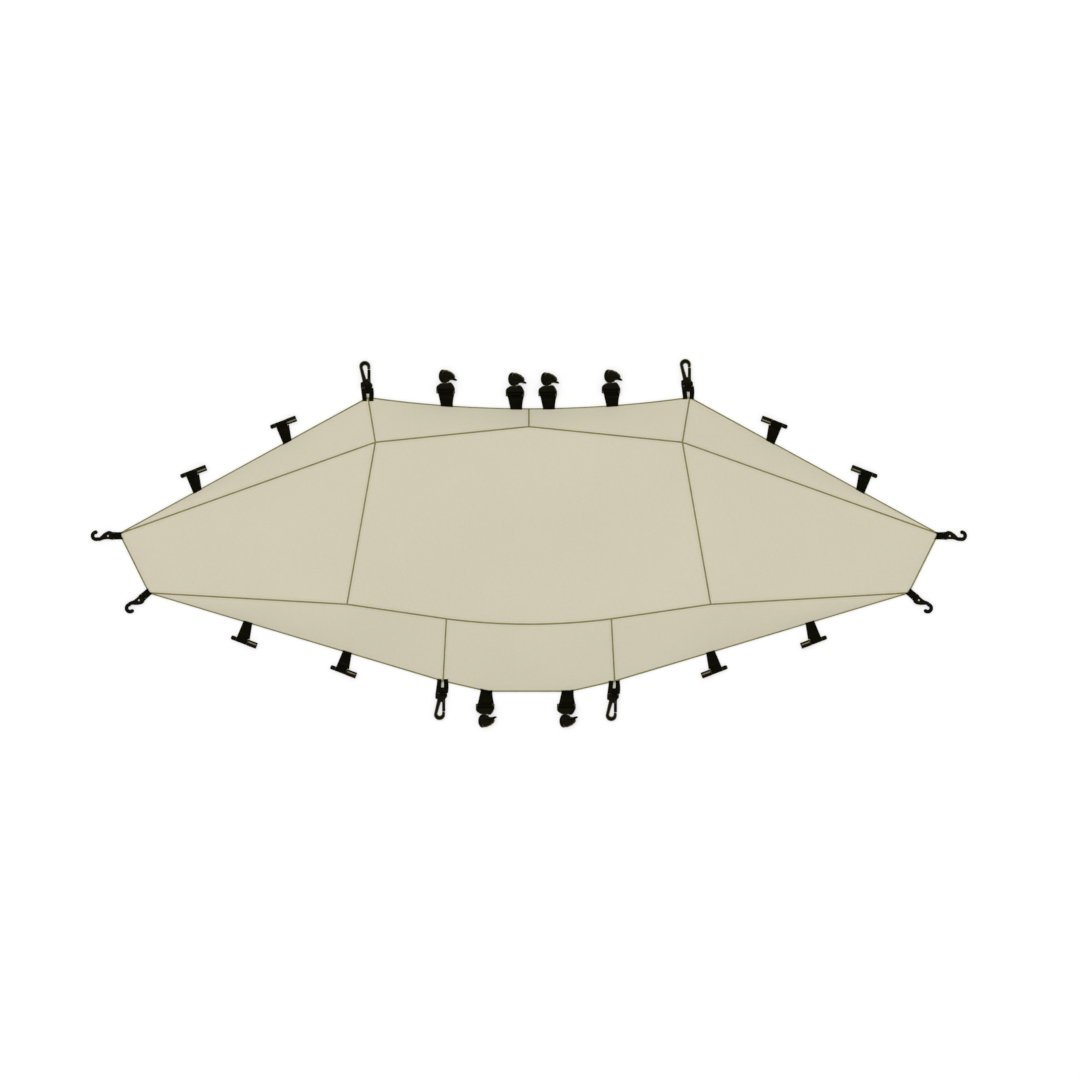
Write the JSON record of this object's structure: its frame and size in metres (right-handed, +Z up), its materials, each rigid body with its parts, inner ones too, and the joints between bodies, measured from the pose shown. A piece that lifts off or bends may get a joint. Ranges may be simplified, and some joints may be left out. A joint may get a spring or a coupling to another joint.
{
  "type": "fitted fabric cover with tie-down hooks",
  "caption": "Low-crowned sewn fabric cover with piped panels and a hem ringed by webbing loops that carry snap hooks, swivel clips, toggles and corner hooks for tying it down.",
  "frame": {"origin": "on the floor below the middle of the cover's plan", "axes": "+X along the cover to the right, +Y to the rear hem, +Z up"},
  "size_m": [1.753, 0.7378, 0.0586],
  "materials": {
    "cloth": "coated plain weave, matt",
    "piping": "olive corded piping",
    "webbing": "black ribbed webbing",
    "plastic": "moulded, satin black",
    "pin": "blackened steel"
  },
  "bodies": {
    "cover": {"crown_panel": "cloth", "side_panel_left": "cloth", "side_panel_right": "cloth", "rear_gusset_left": "cloth", "rear_gusset_right": "cloth", "rear_valance_left": "cloth", "rear_valance_right": "cloth", "front_gusset_left": "cloth", "front_gusset_right": "cloth", "front_valance": "cloth", "seam_piping": "piping", "hem_piping": "piping", "toggle_loops": "webbing", "corner_hook_loops": "webbing", "snap_hook_loops": "webbing", "clip_loops": "webbing"},
    "toggle_rear_left_outer": {"toggle_rear_left_outer": "plastic"},
    "toggle_rear_left_inner": {"toggle_rear_left_inner": "plastic"},
    "toggle_front_left_outer": {"toggle_front_left_outer": "plastic"},
    "toggle_front_left_inner": {"toggle_front_left_inner": "plastic"},
    "toggle_rear_right_outer": {"toggle_rear_right_outer": "plastic"},
    "toggle_rear_right_inner": {"toggle_rear_right_inner": "plastic"},
    "toggle_front_right_outer": {"toggle_front_right_outer": "plastic"},
    "toggle_front_right_inner": {"toggle_front_right_inner": "plastic"},
    "corner_hook_rear_left": {"corner_hook_rear_left": "plastic"},
    "corner_hook_front_left": {"corner_hook_front_left": "plastic"},
    "corner_hook_rear_right": {"corner_hook_rear_right": "plastic"},
    "corner_hook_front_right": {"corner_hook_front_right": "plastic"},
    "snap_hook_rear_left": {"snap_hook_rear_left": "plastic", "snap_pin_rear_left": "pin"},
    "snap_gate_rear_left": {"snap_gate_rear_left": "plastic"},
    "snap_hook_rear_right": {"snap_hook_rear_right": "plastic", "snap_pin_rear_right": "pin"},
    "snap_gate_rear_right": {"snap_gate_rear_right": "plastic"},
    "snap_hook_front_left": {"snap_hook_front_left": "plastic", "snap_pin_front_left": "pin"},
    "snap_gate_front_left": {"snap_gate_front_left": "plastic"},
    "snap_hook_front_right": {"snap_hook_front_right": "plastic", "snap_pin_front_right": "pin"},
    "snap_gate_front_right": {"snap_gate_front_right": "plastic"},
    "clip_base_rear_1": {"clip_base_rear_1": "plastic"},
    "clip_head_rear_1": {"clip_head_rear_1": "plastic"},
    "clip_base_rear_2": {"clip_base_rear_2": "plastic"},
    "clip_head_rear_2": {"clip_head_rear_2": "plastic"},
    "clip_base_rear_3": {"clip_base_rear_3": "plastic"},
    "clip_head_rear_3": {"clip_head_rear_3": "plastic"},
    "clip_base_rear_4": {"clip_base_rear_4": "plastic"},
    "clip_head_rear_4": {"clip_head_rear_4": "plastic"},
    "clip_base_front_1": {"clip_base_front_1": "plastic"},
    "clip_head_front_1": {"clip_head_front_1": "plastic"},
    "clip_base_front_2": {"clip_base_front_2": "plastic"},
    "clip_head_front_2": {"clip_head_front_2": "plastic"}
  },
  "joints": [
    {"name": "toggle_rear_left_outer_roll", "type": "hinge", "parent": "cover", "child": "toggle_rear_left_outer", "pos_m": [-0.67609, 0.1435, 0.00453], "axis": [0.9354, 0.3535, 0], "continuous": true},
    {"name": "toggle_rear_left_inner_roll", "type": "hinge", "parent": "cover", "child": "toggle_rear_left_inner", "pos_m": [-0.49627, 0.24196, 0.00453], "axis": [0.9354, 0.3535, 0], "continuous": true},
    {"name": "toggle_front_left_outer_roll", "type": "hinge", "parent": "cover", "child": "toggle_front_left_outer", "pos_m": [-0.575, -0.19303, 0.00453], "axis": [-0.9354, 0.3535, 0], "continuous": true},
    {"name": "toggle_front_left_inner_roll", "type": "hinge", "parent": "cover", "child": "toggle_front_left_inner", "pos_m": [-0.37626, -0.25255, 0.00453], "axis": [-0.9354, 0.3535, 0], "continuous": true},
    {"name": "toggle_rear_right_outer_roll", "type": "hinge", "parent": "cover", "child": "toggle_rear_right_outer", "pos_m": [0.67609, 0.1435, 0.00453], "axis": [0.9354, -0.3535, 0], "continuous": true},
    {"name": "toggle_rear_right_inner_roll", "type": "hinge", "parent": "cover", "child": "toggle_rear_right_inner", "pos_m": [0.49627, 0.24196, 0.00453], "axis": [0.9354, -0.3535, 0], "continuous": true},
    {"name": "toggle_front_right_outer_roll", "type": "hinge", "parent": "cover", "child": "toggle_front_right_outer", "pos_m": [0.575, -0.19303, 0.00453], "axis": [-0.9354, -0.3535, 0], "continuous": true},
    {"name": "toggle_front_right_inner_roll", "type": "hinge", "parent": "cover", "child": "toggle_front_right_inner", "pos_m": [0.37626, -0.25255, 0.00453], "axis": [-0.9354, -0.3535, 0], "continuous": true},
    {"name": "corner_hook_rear_left_swing", "type": "hinge", "parent": "cover", "child": "corner_hook_rear_left", "pos_m": [-0.83332, 0.01712, 0.00373], "axis": [0, 1, 0], "range_deg": [-90, 90]},
    {"name": "corner_hook_front_left_swing", "type": "hinge", "parent": "cover", "child": "corner_hook_front_left", "pos_m": [-0.77325, -0.10633, 0.00373], "axis": [-0.6534, 0.757, 0], "range_deg": [-90, 90]},
    {"name": "corner_hook_rear_right_swing", "type": "hinge", "parent": "cover", "child": "corner_hook_rear_right", "pos_m": [0.83332, 0.01712, 0.00373], "axis": [0, -1, 0], "range_deg": [-90, 90]},
    {"name": "corner_hook_front_right_swing", "type": "hinge", "parent": "cover", "child": "corner_hook_front_right", "pos_m": [0.77325, -0.10633, 0.00373], "axis": [-0.6534, -0.757, 0], "range_deg": [-90, 90]},
    {"name": "snap_hook_rear_left_swing", "type": "hinge", "parent": "cover", "child": "snap_hook_rear_left", "pos_m": [-0.32195, 0.3167, 0.004], "axis": [1, 0, 0], "range_deg": [-90, 90]},
    {"name": "snap_gate_rear_left_turn", "type": "hinge", "parent": "snap_hook_rear_left", "child": "snap_gate_rear_left", "pos_m": [-0.31975, 0.3282, 0.004], "axis": [0, 0, 1], "range_deg": [0, 18], "stiffness_Nm_per_rad": 0.02},
    {"name": "snap_hook_rear_right_swing", "type": "hinge", "parent": "cover", "child": "snap_hook_rear_right", "pos_m": [0.31905, 0.3206, 0.004], "axis": [1, 0, 0], "range_deg": [-90, 90]},
    {"name": "snap_gate_rear_right_turn", "type": "hinge", "parent": "snap_hook_rear_right", "child": "snap_gate_rear_right", "pos_m": [0.32125, 0.3321, 0.004], "axis": [0, 0, 1], "range_deg": [0, 18], "stiffness_Nm_per_rad": 0.02},
    {"name": "snap_hook_front_left_swing", "type": "hinge", "parent": "cover", "child": "snap_hook_front_left", "pos_m": [-0.1725, -0.3012, 0.004], "axis": [-1, 0, 0], "range_deg": [-90, 90]},
    {"name": "snap_gate_front_left_turn", "type": "hinge", "parent": "snap_hook_front_left", "child": "snap_gate_front_left", "pos_m": [-0.1703, -0.3127, 0.004], "axis": [0, 0, -1], "range_deg": [0, 18], "stiffness_Nm_per_rad": 0.02},
    {"name": "snap_hook_front_right_swing", "type": "hinge", "parent": "cover", "child": "snap_hook_front_right", "pos_m": [0.1709, -0.3032, 0.004], "axis": [-1, 0, 0], "range_deg": [-90, 90]},
    {"name": "snap_gate_front_right_turn", "type": "hinge", "parent": "snap_hook_front_right", "child": "snap_gate_front_right", "pos_m": [0.1731, -0.3147, 0.004], "axis": [0, 0, -1], "range_deg": [0, 18], "stiffness_Nm_per_rad": 0.02},
    {"name": "clip_base_rear_1_swing", "type": "hinge", "parent": "cover", "child": "clip_base_rear_1", "pos_m": [-0.1643, 0.3077, 0.006], "axis": [1, 0, 0], "range_deg": [-90, 90]},
    {"name": "clip_head_rear_1_swivel", "type": "hinge", "parent": "clip_base_rear_1", "child": "clip_head_rear_1", "pos_m": [-0.1683, 0.3197, 0.006], "axis": [0, 1, 0], "continuous": true},
    {"name": "clip_base_rear_2_swing", "type": "hinge", "parent": "cover", "child": "clip_base_rear_2", "pos_m": [-0.0255, 0.30194, 0.006], "axis": [1, 0, 0], "range_deg": [-90, 90]},
    {"name": "clip_head_rear_2_swivel", "type": "hinge", "parent": "clip_base_rear_2", "child": "clip_head_rear_2", "pos_m": [-0.0295, 0.31394, 0.006], "axis": [0, 1, 0], "continuous": true},
    {"name": "clip_base_rear_3_swing", "type": "hinge", "parent": "cover", "child": "clip_base_rear_3", "pos_m": [0.0399, 0.30215, 0.006], "axis": [1, 0, 0], "range_deg": [-90, 90]},
    {"name": "clip_head_rear_3_swivel", "type": "hinge", "parent": "clip_base_rear_3", "child": "clip_head_rear_3", "pos_m": [0.0359, 0.31415, 0.006], "axis": [0, 1, 0], "continuous": true},
    {"name": "clip_base_rear_4_swing", "type": "hinge", "parent": "cover", "child": "clip_base_rear_4", "pos_m": [0.1665, 0.30786, 0.006], "axis": [1, 0, 0], "range_deg": [-90, 90]},
    {"name": "clip_head_rear_4_swivel", "type": "hinge", "parent": "clip_base_rear_4", "child": "clip_head_rear_4", "pos_m": [0.1625, 0.31986, 0.006], "axis": [0, 1, 0], "continuous": true},
    {"name": "clip_base_front_1_swing", "type": "hinge", "parent": "cover", "child": "clip_base_front_1", "pos_m": [-0.0852, -0.3245, 0.006], "axis": [-1, 0, 0], "range_deg": [-90, 90]},
    {"name": "clip_head_front_1_swivel", "type": "hinge", "parent": "clip_base_front_1", "child": "clip_head_front_1", "pos_m": [-0.0892, -0.3365, 0.006], "axis": [0, -1, 0], "continuous": true},
    {"name": "clip_base_front_2_swing", "type": "hinge", "parent": "cover", "child": "clip_base_front_2", "pos_m": [0.0772, -0.3245, 0.006], "axis": [-1, 0, 0], "range_deg": [-90, 90]},
    {"name": "clip_head_front_2_swivel", "type": "hinge", "parent": "clip_base_front_2", "child": "clip_head_front_2", "pos_m": [0.0732, -0.3365, 0.006], "axis": [0, -1, 0], "continuous": true}
  ]
}
